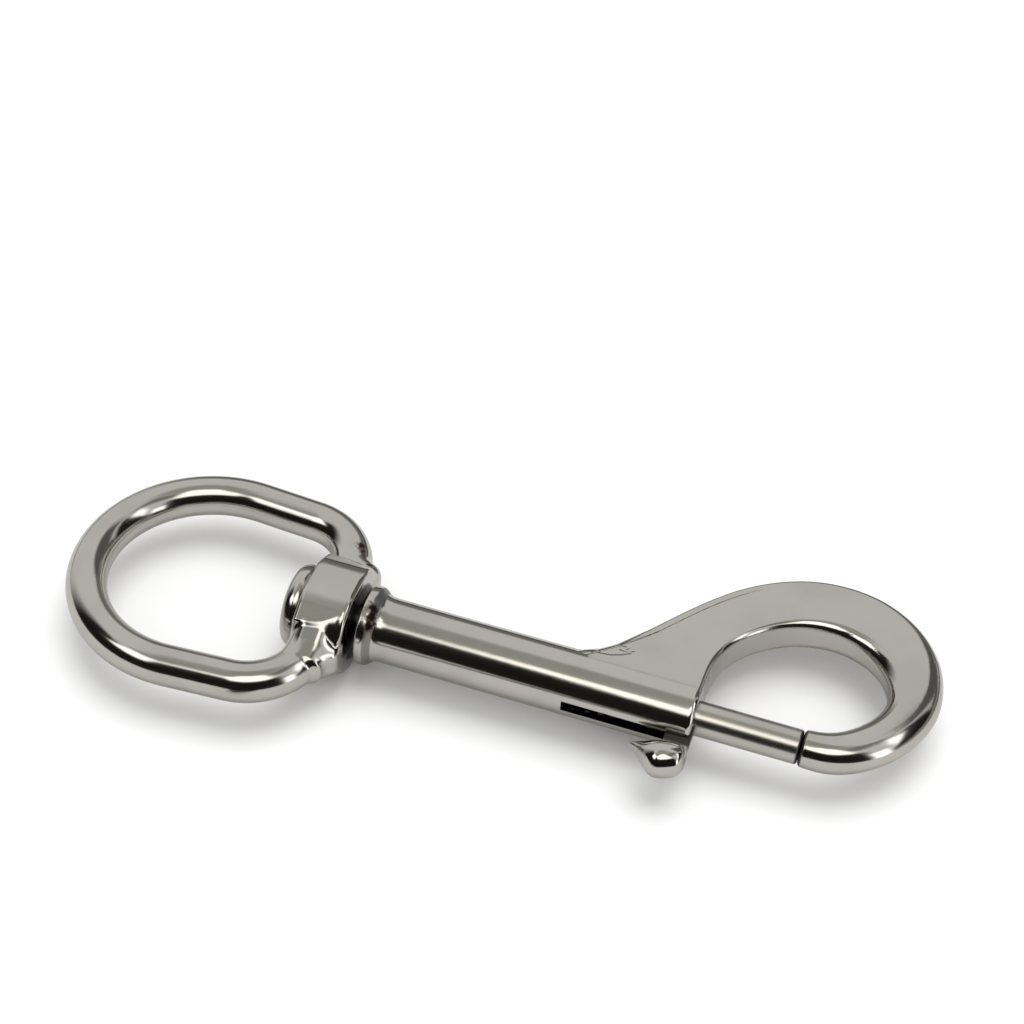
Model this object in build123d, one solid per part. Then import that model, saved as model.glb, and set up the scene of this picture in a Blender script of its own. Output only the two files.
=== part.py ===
from build123d import *
from math import atan2, cos, degrees, hypot, pi, radians, sin, sqrt
import os

# Swivel-eye bolt snap, in millimetres.
# Origin: centre of the eye's round end, on the barrel axis.
# +X runs along the barrel axis from the eye to the hook, +Y points to the hook's
# bulging side and +Z is square to the plane of the eye and the hook.

# ---- driving dimensions ------------------------------------------------------
# Swivel eye
EYE_R = 16.6            # centreline radius of the round end
EYE_TAPER = 4.0         # degrees each straight side leans in towards the collar
EYE_CORNER_R = 8.6      # centreline radius of the two corners
EYE_ROD_R = 2.8         # radius of the eye's round rod
ARM_X = 17.6            # X of the two arms that enter the collar
COLLAR_X0 = 14.9        # collar face inside the eye
COLLAR_X1 = 21.9        # collar face towards the barrel
COLLAR_Z_HALF = 6.5     # half height over the flats square to Z
COLLAR_Y_HALF = 6.6     # half width over the flats square to Y
COLLAR_TOP_HALF = 3.1   # half width of the flats square to Z
COLLAR_SIDE_HALF = 4.5  # half height of the flats square to Y
COLLAR_NOSE = 0.8       # bevel round the collar's barrel end
COLLAR_BORE_R = 2.48    # runs on the rivet's stem
SHOULDER_X1 = 22.3      # the shoulders where the arms meet the collar
SHOULDER_Y = 9.7
SHOULDER_R = 2.4
SHOULDER_T = 5.4

# Swivel rivet
HEAD_R = 5.8
HEAD_X0 = 11.8          # crown of the head, inside the eye
HEAD_PLAY = 0.1         # gap between head and collar
STEM_R = 2.40           # stem through the collar, running fit
SHANK_R = 2.42          # shank pressed into the barrel's rear bore
SHANK_END_X = 31.0      # front end of the shank, where the spring sits

# Barrel of the hook body
FLANGE_X = 22.9         # rear face of the barrel's flange
FLANGE_R = 5.35
FLANGE_RIM = 1.1        # width of the flange's round rim
FLARE_L = 2.4           # hollow flare from the rim to the barrel
BARREL_R = 4.5
MOUTH_X = 69.5          # mouth face, where the bolt comes out
BORE_R = 2.40           # one straight bore from end to end
SLOT_X0 = 52.0          # closed rear end of the thumb slot
SLOT_W = 1.7

# Hook
# Stations round the hook from the nose back to the root: (X, Y) on the inner
# side, (X, Y) on the outer side, height along Z and corner radius of the section.
HOOK_STATIONS = [
    ((83.8, 2.5), (83.8, -2.5), 5.0, 2.48),
    ((86.4, 2.9), (87.2, -2.4), 5.2, 2.50),
    ((89.0, 4.5), (91.9, -0.6), 5.3, 2.50),
    ((91.3, 7.2), (96.3, 3.5), 5.4, 2.60),
    ((92.7, 11.6), (99.7, 11.4), 5.4, 2.50),
    ((90.2, 16.8), (97.1, 22.3), 5.4, 2.30),
    ((85.2, 19.6), (88.9, 28.4), 5.4, 1.70),
    ((79.9, 19.4), (79.0, 28.3), 5.4, 1.25),
    ((74.6, 16.5), (69.3, 22.7), 5.3, 0.95),
    ((71.0, 12.2), (62.1, 14.55), 5.2, 0.80),
    ((69.6, 8.0), (57.0, 8.2), 5.2, 0.80),
    ((69.4, 4.0), (53.3, 3.9), 5.2, 0.80),
    ((69.4, 0.5), (50.4, 0.5), 5.2, 0.80),
]
# Locking bolt
BOLT_R = 2.35
BOLT_X0 = 63.2          # rear shoulder, where the spring pushes
BOLT_X1 = 83.5          # front end, closed
BOLT_CHAMFER = 0.35
SPIGOT_R = 1.35
SPIGOT_L = 2.2
# Thumb knob
NECK_X0, NECK_X1 = 66.2, 69.7
NECK_W = 1.5
PEG_R = 0.75
PEG_END_Y = 1.2         # blind end of the peg's hole in the bolt
KNOB_TIP = (62.1, -7.2) # the flat inner face runs from the tip to the nose
KNOB_NOSE = (70.0, -6.3)
# Round sections of the knob: X, distance of the centre from the barrel axis, radius
KNOB_ROUNDS = [
    (62.15, 7.25, 0.12),
    (63.1, 7.50, 0.75),
    (64.3, 8.15, 1.60),
    (65.9, 8.55, 2.40),
    (67.6, 8.35, 2.45),
    (69.2, 7.95, 2.05),
    (69.9, 7.80, 1.30),
]
KNOB_TRIM = 10          # block that trims the rounds to the flat inner face
# Spring
SPRING_WIRE_R = 0.28
SPRING_R = 1.95         # mean radius of the coil
SPRING_TURNS = 17


def bar(x0, x1, r):
    """Solid round bar on the barrel axis between two stations."""
    return Pos((x0 + x1) / 2, 0, 0) * Rot(0, 90, 0) * Cylinder(r, x1 - x0)


def turned(outline):
    """Solid of revolution about the barrel axis, from an outline in the XY plane."""
    return revolve(make_face(outline), Axis.X)


# ---- swivel eye --------------------------------------------------------------
lean = radians(EYE_TAPER)
nx, ny = sin(lean), cos(lean)
corner_x = ARM_X - EYE_CORNER_R
corner_y = (EYE_R - EYE_CORNER_R - nx * corner_x) / ny
side_0 = (nx * EYE_R, ny * EYE_R)
side_1 = (corner_x + nx * EYE_CORNER_R, corner_y + ny * EYE_CORNER_R)
corner_mid = (corner_x + EYE_CORNER_R * cos(pi / 4), corner_y + EYE_CORNER_R * sin(pi / 4))
with BuildLine() as eye_half:
    ThreePointArc((-EYE_R, 0), (-EYE_R * cos(pi / 4), EYE_R * sin(pi / 4)), side_0)
    Line(side_0, side_1)
    ThreePointArc(side_1, corner_mid, (ARM_X, corner_y))
    Line((ARM_X, corner_y), (ARM_X, 3.6))
rod_section = Plane((-EYE_R, 0, 0), x_dir=(1, 0, 0), z_dir=(0, 1, 0)) * Circle(EYE_ROD_R)
eye_arm = sweep(rod_section, eye_half.line)
w, h, t, s = COLLAR_Y_HALF, COLLAR_Z_HALF, COLLAR_TOP_HALF, COLLAR_SIDE_HALF
flats = Polyline((t, h), (w, s), (w, -s), (t, -h), (-t, -h), (-w, -s), (-w, s), (-t, h), (t, h))
collar_end = Plane((COLLAR_X0, 0, 0), x_dir=(0, 1, 0), z_dir=(1, 0, 0))
collar = extrude(collar_end * make_face(flats), COLLAR_X1 - COLLAR_X0)
collar = chamfer(collar.faces().sort_by(Axis.X)[-1].edges(), COLLAR_NOSE)
collar = fillet(collar.edges().filter_by(Axis.X), 0.5)
shoulder = Pos((ARM_X + SHOULDER_X1) / 2, 0, 0) * Box(SHOULDER_X1 - ARM_X, 2 * SHOULDER_Y, SHOULDER_T)
shoulder = fillet(shoulder.edges().filter_by(Axis.Z).group_by(Axis.X)[-1], SHOULDER_R)
shoulder = fillet(shoulder.faces().filter_by(Axis.Z).edges(), 1.2)
swivel_eye = eye_arm + mirror(eye_arm, Plane.XZ) + collar + shoulder
swivel_eye -= bar(COLLAR_X0 - 2, COLLAR_X1 + 2, COLLAR_BORE_R)

# ---- swivel rivet ------------------------------------------------------------
head_x1 = COLLAR_X0 - HEAD_PLAY
crown_y, crown_x = HEAD_R - 1.1, HEAD_X0 + 0.55
crown_r = (crown_y ** 2 + 0.55 ** 2) / (2 * 0.55)
crown_mid_x = HEAD_X0 + crown_r - sqrt(crown_r ** 2 - crown_y ** 2 / 4)
with BuildLine() as head_outline:
    Polyline((HEAD_X0, 0), (head_x1, 0), (head_x1, HEAD_R - 0.4))
    ThreePointArc((head_x1, HEAD_R - 0.4), (head_x1 - 1.1, HEAD_R), (crown_x, crown_y))
    ThreePointArc((crown_x, crown_y), (crown_mid_x, crown_y / 2), (HEAD_X0, 0))
shank = chamfer(bar(FLANGE_X, SHANK_END_X, SHANK_R).edges().sort_by(Axis.X)[-1], 0.4)
swivel_rivet = turned(head_outline.line) + bar(head_x1, FLANGE_X, STEM_R) + shank

# ---- hook body ---------------------------------------------------------------
rim_x1 = FLANGE_X + FLANGE_RIM
rim_r = FLANGE_R - FLANGE_RIM / 2
with BuildLine() as barrel_outline:
    Line((FLANGE_X, 0), (FLANGE_X, rim_r))
    ThreePointArc((FLANGE_X, rim_r), (FLANGE_X + FLANGE_RIM / 2, FLANGE_R), (rim_x1, rim_r))
    ThreePointArc((rim_x1, rim_r), (rim_x1 + 0.32 * FLARE_L, BARREL_R + 0.10),
                  (rim_x1 + FLARE_L, BARREL_R))
    Polyline((rim_x1 + FLARE_L, BARREL_R), (MOUTH_X, BARREL_R), (MOUTH_X, 0), (FLANGE_X, 0))
barrel = turned(barrel_outline.line)

sections = []
for (xi, yi), (xo, yo), height, corner in HOOK_STATIONS:
    width = hypot(xo - xi, yo - yi)
    ux, uy = (xo - xi) / width, (yo - yi) / width
    here = Plane(((xi + xo) / 2, (yi + yo) / 2, 0), x_dir=(ux, uy, 0), z_dir=(uy, -ux, 0))
    sections.append(here * RectangleRounded(width, height, corner))
hook = loft(sections)

hook_body = barrel + hook
hook_body -= bar(FLANGE_X - 1, MOUTH_X + 1, BORE_R)
slot_l = MOUTH_X + 1 - SLOT_X0
hook_body -= Pos(SLOT_X0 + slot_l / 2, -BARREL_R / 2 - 0.5, 0) * Box(slot_l, BARREL_R + 1, SLOT_W)

# ---- locking bolt ------------------------------------------------------------
lock_bolt = bar(BOLT_X0, BOLT_X1, BOLT_R)
lock_bolt = chamfer(lock_bolt.edges().sort_by(Axis.X)[-1], BOLT_CHAMFER)
lock_bolt += bar(BOLT_X0 - SPIGOT_L, BOLT_X0, SPIGOT_R)
neck_x = (NECK_X0 + NECK_X1) / 2
neck_y1 = -BOLT_R + 0.6
neck = Pos(neck_x, (KNOB_NOSE[1] - 1.0 + neck_y1) / 2, 0) * Box(
    NECK_X1 - NECK_X0, neck_y1 - KNOB_NOSE[1] + 1.0, NECK_W)
peg = Pos(neck_x, (neck_y1 + PEG_END_Y) / 2, 0) * Rot(90, 0, 0) * Cylinder(PEG_R, PEG_END_Y - neck_y1)
lock_bolt -= neck + peg

# ---- thumb knob --------------------------------------------------------------
knob_lean = degrees(atan2(KNOB_NOSE[1] - KNOB_TIP[1], KNOB_NOSE[0] - KNOB_TIP[0]))
rounds = [Plane((x, -y, 0), x_dir=(0, 1, 0), z_dir=(1, 0, 0)) * Circle(r) for x, y, r in KNOB_ROUNDS]
outside = Pos(*KNOB_TIP) * Rot(0, 0, knob_lean) * Pos(0, -KNOB_TRIM / 2, 0) * Box(
    2 * KNOB_TRIM, KNOB_TRIM, KNOB_TRIM)
thumb_knob = (loft(rounds) & outside) + neck + peg

# ---- spring ------------------------------------------------------------------
seat_0 = SHANK_END_X + SPRING_WIRE_R
seat_1 = BOLT_X0 - SPRING_WIRE_R
pitch = (seat_1 - seat_0) / SPRING_TURNS
coil = Helix(pitch, seat_1 - seat_0, SPRING_R)
wire = Plane(coil @ 0, z_dir=coil % 0) * Circle(SPRING_WIRE_R)
bolt_spring = Pos(seat_0, 0, 0) * Rot(0, 90, 0) * sweep(wire, coil)

# ---- one file for each piece -------------------------------------------------
os.makedirs("parts", exist_ok=True)
pieces = {
    "hook_body": hook_body,
    "swivel_eye": swivel_eye,
    "swivel_rivet": swivel_rivet,
    "lock_bolt": lock_bolt,
    "thumb_knob": thumb_knob,
    "bolt_spring": bolt_spring,
}
for node, shape in pieces.items():
    export_step(shape, f"parts/{node}.step")
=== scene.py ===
import logging
import math
from dataclasses import dataclass, field
from enum import Enum
from typing import Callable, Sequence

import bpy
import numpy as np
from mathutils import Matrix, Vector


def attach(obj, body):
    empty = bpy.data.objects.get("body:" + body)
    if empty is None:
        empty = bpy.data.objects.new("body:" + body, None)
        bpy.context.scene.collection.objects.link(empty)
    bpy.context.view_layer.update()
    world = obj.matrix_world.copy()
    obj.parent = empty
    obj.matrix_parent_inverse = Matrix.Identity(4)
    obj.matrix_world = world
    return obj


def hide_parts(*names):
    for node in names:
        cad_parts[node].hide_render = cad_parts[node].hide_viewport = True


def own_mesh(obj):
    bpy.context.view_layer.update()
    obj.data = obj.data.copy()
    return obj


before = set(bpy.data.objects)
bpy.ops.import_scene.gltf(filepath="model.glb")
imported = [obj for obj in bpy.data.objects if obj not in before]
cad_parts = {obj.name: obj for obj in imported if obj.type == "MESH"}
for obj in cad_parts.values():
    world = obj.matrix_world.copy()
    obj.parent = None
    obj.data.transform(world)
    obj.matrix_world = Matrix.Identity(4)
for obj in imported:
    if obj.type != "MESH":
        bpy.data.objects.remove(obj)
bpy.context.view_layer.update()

log = logging.getLogger("bolt_snap")

MM = 0.001
DEGREES = 180 / math.pi
TINY = 1e-9
FAR = 99.0
Object = bpy.types.Object
Array = np.ndarray
Field = Callable[[Array, Array, Array], Array]
Pair = tuple[float, float]
Triple = tuple[float, float, float]
Spans = tuple[Triple, ...]
Colour = tuple[float, float, float, float]


# ---- fields ----
# A field gives, in millimetres, how far a point lies outside a form (below 0
# inside it). Castings are drawn as the zero level of such fields.

def meet(a: Array, b: Array, radius: float | Array) -> Array:
    """Field of what lies inside both forms.

    Args:
        a: Field of the first form.
        b: Field of the second form.
        radius: Radius that the edge between them is rounded to.

    Returns:
        The joint field.
    """
    qa, qb = a + radius, b + radius
    return np.hypot(np.maximum(qa, 0), np.maximum(qb, 0)) + np.minimum(np.maximum(qa, qb), 0) - radius


def join(a: Array, b: Array, radius: float | Array) -> Array:
    """Field of two forms grown together with a fillet of that radius."""
    return -meet(-a, -b, radius)


def cut(a: Array, b: Array, radius: float | Array) -> Array:
    """Field of form a with form b taken out, the edge rounded to that radius."""
    return meet(a, -b, radius)


def slab(v: Array, lo: float, hi: float) -> Array:
    """Field of the space between two parallel planes."""
    return np.abs(v - (lo + hi) / 2) - (hi - lo) / 2


def part_way(v: Array, start: float, end: float) -> Array:
    """How far values have gone from start to end: 0 before it, 1 past it."""
    return np.clip((v - start) / (end - start), 0, 1)


def eased(share: Array) -> Array:
    """A share from 0 to 1 that sets off and arrives slowly."""
    return share * share * (3 - 2 * share)


def graded(spans: Spans) -> Array:
    """Grid stations, in millimetres, from spans laid end to end.

    Args:
        spans: Start, end and spacing of each span.

    Returns:
        The stations, lowest first.
    """
    runs = [np.linspace(a, b, max(2, round((b - a) / step) + 1)) for a, b, step in spans]
    return np.unique(np.concatenate(runs).round(6))


def flowing(points: Sequence[Pair], per_span: int = 16) -> Array:
    """A line through points with no kink in it: a natural cubic spline.

    Args:
        points: Points in a plane, in order.
        per_span: Samples laid between two points.

    Returns:
        The samples, one row each.
    """
    p = np.array(points, float)
    t = np.r_[0, np.cumsum(np.hypot(*np.diff(p, axis=0).T))]
    h = np.diff(t)
    n = len(p)
    a = np.eye(n)
    b = np.zeros((n, 2))
    for i in range(1, n - 1):
        a[i, i - 1:i + 2] = h[i - 1], 2 * (h[i - 1] + h[i]), h[i]
        b[i] = 6 * ((p[i + 1] - p[i]) / h[i] - (p[i] - p[i - 1]) / h[i - 1])
    m = np.linalg.solve(a, b)
    u = np.unique(np.concatenate([np.linspace(t[i], t[i + 1], per_span + 1) for i in range(n - 1)]).round(9))
    i = np.clip(np.searchsorted(t, u, side="right") - 1, 0, n - 2)
    l, r, w = (t[i + 1] - u)[:, None], (u - t[i])[:, None], h[i][:, None]
    bend = (m[i] * l ** 3 + m[i + 1] * r ** 3) / (6 * w)
    return bend + (p[i] / w - m[i] * w / 6) * l + (p[i + 1] / w - m[i + 1] * w / 6) * r


def edge_distance(x: Array, y: Array, outline: Array) -> Array:
    """Signed distance from points to a closed outline, below 0 inside it.

    Args:
        x: First coordinates of the points.
        y: Second coordinates of the points.
        outline: Corners of the outline, one row each.

    Returns:
        One distance for each point.
    """
    best = np.full(x.shape, np.inf)
    inside = np.zeros(x.shape, bool)
    for (ax, ay), (bx, by) in zip(outline, np.roll(outline, -1, axis=0)):
        dx, dy = bx - ax, by - ay
        s = np.clip(((x - ax) * dx + (y - ay) * dy) / max(dx * dx + dy * dy, 1e-12), 0, 1)
        best = np.minimum(best, (x - ax - s * dx) ** 2 + (y - ay - s * dy) ** 2)
        if ay != by:
            inside ^= ((ay > y) != (by > y)) & (x < ax + (y - ay) * dx / dy)
    return np.where(inside, -1, 1) * np.sqrt(best)


def nearest_on(x: Array, y: Array, line: Array) -> tuple[Array, Array]:
    """Finds the nearest place on an open line.

    Args:
        x: First coordinates of the points.
        y: Second coordinates of the points.
        line: Corners of the line, one row each.

    Returns:
        The distance of each point, and the place on the line counted in corners.
    """
    best, place = np.full(x.shape, np.inf), np.zeros(x.shape)
    for i, ((ax, ay), (bx, by)) in enumerate(zip(line, line[1:])):
        dx, dy = bx - ax, by - ay
        on = np.clip(((x - ax) * dx + (y - ay) * dy) / (dx * dx + dy * dy), 0, 1)
        d = (x - ax - on * dx) ** 2 + (y - ay - on * dy) ** 2
        place = np.where(d < best, i + on, place)
        best = np.minimum(best, d)
    return np.sqrt(best), place


def furrow(distance: Array, depth: float, width: float) -> Array:
    """How deep a smooth furrow is at a distance from its middle."""
    return depth * np.exp(-(distance / width) ** 2)


@dataclass
class Chart:
    """Values laid out over a plane, read back smoothly anywhere on it."""

    x: Array
    y: Array
    values: Array

    @staticmethod
    def _weights(f: Array) -> list[Array]:
        """Weights of the four neighbours along one direction."""
        return [
            ((-f + 2) * f - 1) * f / 2,
            ((3 * f - 5) * f * f + 2) / 2,
            ((-3 * f + 4) * f + 1) * f / 2,
            (f - 1) * f * f / 2,
        ]

    def read(self, x: Array, y: Array) -> Array:
        """Value of the chart at points of its plane.

        Args:
            x: First coordinates.
            y: Second coordinates.

        Returns:
            One value for each point.
        """
        u = np.clip((x - self.x[0]) / (self.x[1] - self.x[0]), 1, len(self.x) - 3)
        v = np.clip((y - self.y[0]) / (self.y[1] - self.y[0]), 1, len(self.y) - 3)
        i, j = u.astype(int), v.astype(int)
        wu, wv = self._weights(u - i), self._weights(v - j)
        total = 0
        for a in range(4):
            for b in range(4):
                total = total + wu[a] * wv[b] * self.values[i + a - 1, j + b - 1]
        return total


# ---- surfaces ----
@dataclass
class Skin:
    """The closed surface of a field, drawn over a grid and laid exactly on it."""

    field: Field
    x: Spans
    y: Spans
    z: Spans
    settle: int = 3
    ease: float = 0.5
    pulls: int = 3
    pull: float = 0.25
    least_slope: float = 0.05
    probe: float = 0.012
    crease: float = 0.35

    def at(self, p: Array) -> Array:
        """Field at points given as rows."""
        return self.field(p[:, 0], p[:, 1], p[:, 2])

    def slope(self, p: Array) -> Array:
        """Slope of the field.

        Args:
            p: Points, one row each.

        Returns:
            The slope along each axis, one row for each point.
        """
        out = np.empty_like(p)
        for axis in range(3):
            d = np.zeros(3)
            d[axis] = self.probe
            out[:, axis] = (self.at(p + d) - self.at(p - d)) / (2 * self.probe)
        return out

    def facing(self, p: Array) -> Array:
        """Direction in which the field grows, at points given as rows."""
        g = self.slope(p)
        return g / np.maximum(np.linalg.norm(g, axis=1), TINY)[:, None]

    def _cells(self) -> tuple[Array, Array]:
        """Finds the cells that the surface crosses.

        Returns:
            A point inside each such cell, and the quads between the points.
        """
        grids = [graded(spans) for spans in (self.x, self.y, self.z)]
        f = self.field(*np.meshgrid(*grids, indexing="ij", sparse=True))
        f = np.broadcast_to(f, [len(g) for g in grids])
        inside = f < 0
        shape = tuple(n - 1 for n in f.shape)
        filled = np.zeros(shape, np.int8)
        for i, j, k in np.ndindex(2, 2, 2):
            filled += inside[i:i + shape[0], j:j + shape[1], k:k + shape[2]]
        live = (filled > 0) & (filled < 8)
        cell = np.argwhere(live)
        number = np.full(shape, -1)
        number[live] = np.arange(len(cell))
        total, hits = np.zeros((len(cell), 3)), np.zeros((len(cell), 1))
        for axis in range(3):
            for side in ((0, 0), (0, 1), (1, 0), (1, 1)):
                start = (cell + np.insert(side, axis, 0)).T
                end = (cell + np.insert(side, axis, 1)).T
                a, b = f[tuple(start)], f[tuple(end)]
                crossed = (a < 0) != (b < 0)
                share = np.where(crossed, a / np.where(crossed, a - b, 1), 0)[:, None]
                lo, hi = (np.stack([g[i] for g, i in zip(grids, c)], -1) for c in (start, end))
                total += crossed[:, None] * (lo + (hi - lo) * share)
                hits += crossed[:, None]
        quads = []
        for axis in range(3):
            u, v = (axis + 1) % 3, (axis + 2) % 3
            here = [slice(1, -1)] * 3
            here[axis] = slice(0, -1)
            ahead = list(here)
            ahead[axis] = slice(1, None)
            a, b = inside[tuple(here)], inside[tuple(ahead)]
            base = np.argwhere(a != b)
            leaving = a[tuple(base.T)]
            base[:, u] += 1
            base[:, v] += 1
            ring = []
            for du, dv in ((1, 1), (0, 1), (0, 0), (1, 0)):
                at = base.copy()
                at[:, u] -= du
                at[:, v] -= dv
                ring.append(number[tuple(at.T)])
            ring = np.stack(ring, -1)
            quads.append(np.where(leaving[:, None], ring, ring[:, ::-1]))
        return total / hits, np.concatenate(quads)

    def _seat(self, p: Array) -> Array:
        """Moves points straight onto the surface.

        Args:
            p: Points near it, one row each.

        Returns:
            The moved points.
        """
        for _ in range(self.pulls):
            g = self.slope(p)
            steep = np.maximum((g * g).sum(1), self.least_slope)
            far = np.clip(self.at(p) / steep, -self.pull, self.pull)
            p = p - far[:, None] * g
        return p

    def draw(self) -> tuple[Array, Array]:
        """Draws the surface.

        Returns:
            Its points in millimetres and its quads, evened out along the surface.
        """
        p, quads = self._cells()
        p = self._seat(p)
        start = quads.ravel()
        end = np.roll(quads, -1, axis=1).ravel()
        count = np.bincount(start, minlength=len(p))
        for _ in range(self.settle):
            mean = np.stack([np.bincount(start, p[end, a], len(p)) for a in range(3)], -1) / count[:, None]
            g = self.facing(p)
            move = mean - p
            move -= (move * g).sum(1)[:, None] * g
            p = self._seat(p + self.ease * move)
        return p, quads

    def mesh(self, name: str, cutter: Object | None = None) -> Object:
        """Makes the object, with normals read from the field itself.

        Args:
            name: Name of the object.
            cutter: A closed object taken out of it with crisp edges.

        Returns:
            The object, in metres.
        """
        p, quads = self.draw()
        obj = solid(name, p, quads)
        if cutter is not None:
            bite = obj.modifiers.new("bite", "BOOLEAN")
            bite.operation = "DIFFERENCE"
            bite.solver = "EXACT"
            bite.object = cutter
            graph = bpy.context.evaluated_depsgraph_get()
            obj.data = bpy.data.meshes.new_from_object(obj.evaluated_get(graph))
            obj.modifiers.clear()
            bpy.data.objects.remove(cutter)
        data = obj.data
        co = np.empty(len(data.vertices) * 3)
        data.vertices.foreach_get("co", co)
        true = self.facing(co.reshape(-1, 3) / MM)
        corner = np.empty(len(data.loops), int)
        data.loops.foreach_get("vertex_index", corner)
        flat = np.empty(len(data.polygons) * 3)
        data.polygons.foreach_get("normal", flat)
        sides = np.empty(len(data.polygons), int)
        data.polygons.foreach_get("loop_total", sides)
        flat = np.repeat(flat.reshape(-1, 3), sides, axis=0)
        true = true[corner]
        agrees = (true * flat).sum(1) > self.crease
        data.normals_split_custom_set(np.where(agrees[:, None], true, flat).tolist())
        return obj


def solid(name: str, points: Array, faces: Array | Sequence[Sequence[int]]) -> Object:
    """Makes a smooth-shaded object.

    Args:
        name: Name of the object.
        points: Corners in millimetres, one row each.
        faces: Corner numbers of each face.

    Returns:
        The object, in metres and linked to the scene.
    """
    data = bpy.data.meshes.new(name)
    faces = faces.tolist() if isinstance(faces, np.ndarray) else faces
    data.from_pydata((np.asarray(points) * MM).tolist(), [], faces)
    data.validate()
    data.polygons.foreach_set("use_smooth", [True] * len(data.polygons))
    obj = bpy.data.objects.new(name, data)
    bpy.context.scene.collection.objects.link(obj)
    return obj


@dataclass
class Turned:
    """A piece turned about the barrel axis from runs of an outline.

    Each run is a smooth line of (X, radius) points; the surface has an edge
    where two runs meet.
    """

    runs: list[Array]
    sides: int = 128

    def mesh(self, name: str) -> Object:
        """Makes the object, in metres, with exact normals.

        Args:
            name: Name of the object.

        Returns:
            The turned object.
        """
        rings: list[Pair] = []
        bands: list[tuple[int, Array]] = []
        for run in self.runs:
            d = np.gradient(run, axis=0)
            normal = np.stack([-d[:, 1], d[:, 0]], -1)
            normal /= np.linalg.norm(normal, axis=1)[:, None]
            if rings and np.allclose(rings[-1], run[0]):
                rings.pop()
            start = len(rings)
            rings += [tuple(q) for q in run]
            bands += [(start + i, normal[i:i + 2]) for i in range(len(run) - 1)]
        angle = np.linspace(0, 2 * math.pi, self.sides, endpoint=False)
        points, first = [], []
        for x, r in rings:
            first.append(len(points))
            if r < TINY:
                points.append((x, 0, 0))
            else:
                points += [(x, r * math.cos(a), r * math.sin(a)) for a in angle]
        faces, normals = [], []
        for ring, normal in bands:
            for k in range(self.sides):
                k2 = (k + 1) % self.sides
                a, b = angle[k], angle[k2]
                corners = [(ring, k, a, 0), (ring, k2, b, 0), (ring + 1, k2, b, 1), (ring + 1, k, a, 1)]
                face, turned = [], []
                for at, step, turn, which in corners:
                    tip = rings[at][1] < TINY
                    number = first[at] + (0 if tip else step)
                    if number not in face:
                        face.append(number)
                        n = normal[which]
                        turned.append((n[0], n[1] * math.cos(turn), n[1] * math.sin(turn)))
                faces.append(face)
                normals += turned
        obj = solid(name, np.array(points), faces)
        obj.data.normals_split_custom_set(normals)
        return obj


def rounded_line(corners: Sequence[Triple], steps: int = 8) -> Array:
    """A line whose corners are rounded.

    Args:
        corners: X, radius and rounding of each corner, the ends unrounded.
        steps: Points along each rounding.

    Returns:
        The points of the line.
    """
    p = np.array([c[:2] for c in corners], float)
    out = [p[0]]
    for i in range(1, len(p) - 1):
        back = (p[i - 1] - p[i]) / np.linalg.norm(p[i - 1] - p[i])
        on = (p[i + 1] - p[i]) / np.linalg.norm(p[i + 1] - p[i])
        half = math.acos(np.clip(back @ on, -1, 1)) / 2
        reach = corners[i][2] / math.tan(half)
        middle = (back + on) / np.linalg.norm(back + on)
        centre = p[i] + middle * corners[i][2] / math.sin(half)
        a, b = p[i] + back * reach - centre, p[i] + on * reach - centre
        sweep = math.pi - 2 * half
        for s in np.linspace(0, 1, steps + 1):
            out.append(centre + (a * math.sin((1 - s) * sweep) + b * math.sin(s * sweep)) / math.sin(sweep))
    return np.array(out + [p[-1]])


# ---- shader wiring ----
class Signal:
    """A node's output that arithmetic can be done on."""

    def __init__(self, graph: "Graph", socket: bpy.types.NodeSocket) -> None:
        """Wraps an output of a graph's node."""
        self.graph = graph
        self.socket = socket

    def _math(self, operation: str, a: "Signal | float", b: "Signal | float") -> "Signal":
        """A Math node on two values."""
        return self.graph.add("ShaderNodeMath", {"operation": operation}, {0: a, 1: b})

    def __add__(self, other: "Signal | float") -> "Signal":
        """Sum."""
        return self._math("ADD", self, other)

    def __radd__(self, other: float) -> "Signal":
        """Sum, the number first."""
        return self._math("ADD", other, self)

    def __sub__(self, other: "Signal | float") -> "Signal":
        """Difference."""
        return self._math("SUBTRACT", self, other)

    def __rsub__(self, other: float) -> "Signal":
        """Difference, the number first."""
        return self._math("SUBTRACT", other, self)

    def __mul__(self, other: "Signal | float") -> "Signal":
        """Product."""
        return self._math("MULTIPLY", self, other)

    def __rmul__(self, other: float) -> "Signal":
        """Product, the number first."""
        return self._math("MULTIPLY", other, self)

    def most(self, other: "Signal | float") -> "Signal":
        """The larger of two values."""
        return self._math("MAXIMUM", self, other)

    def rise(self, start: float, end: float) -> "Signal":
        """A smooth step from 0 at start to 1 at end."""
        names = {"Value": self, "From Min": start, "From Max": end, "To Min": 0.0, "To Max": 1.0}
        return self.graph.add("ShaderNodeMapRange", {"interpolation_type": "SMOOTHSTEP"}, names)

    def between(self, lo: float, hi: float, soft: float) -> "Signal":
        """1 between two values and 0 outside them, with soft ends."""
        return self.rise(lo - soft, lo + soft) * (1 - self.rise(hi - soft, hi + soft))


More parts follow.
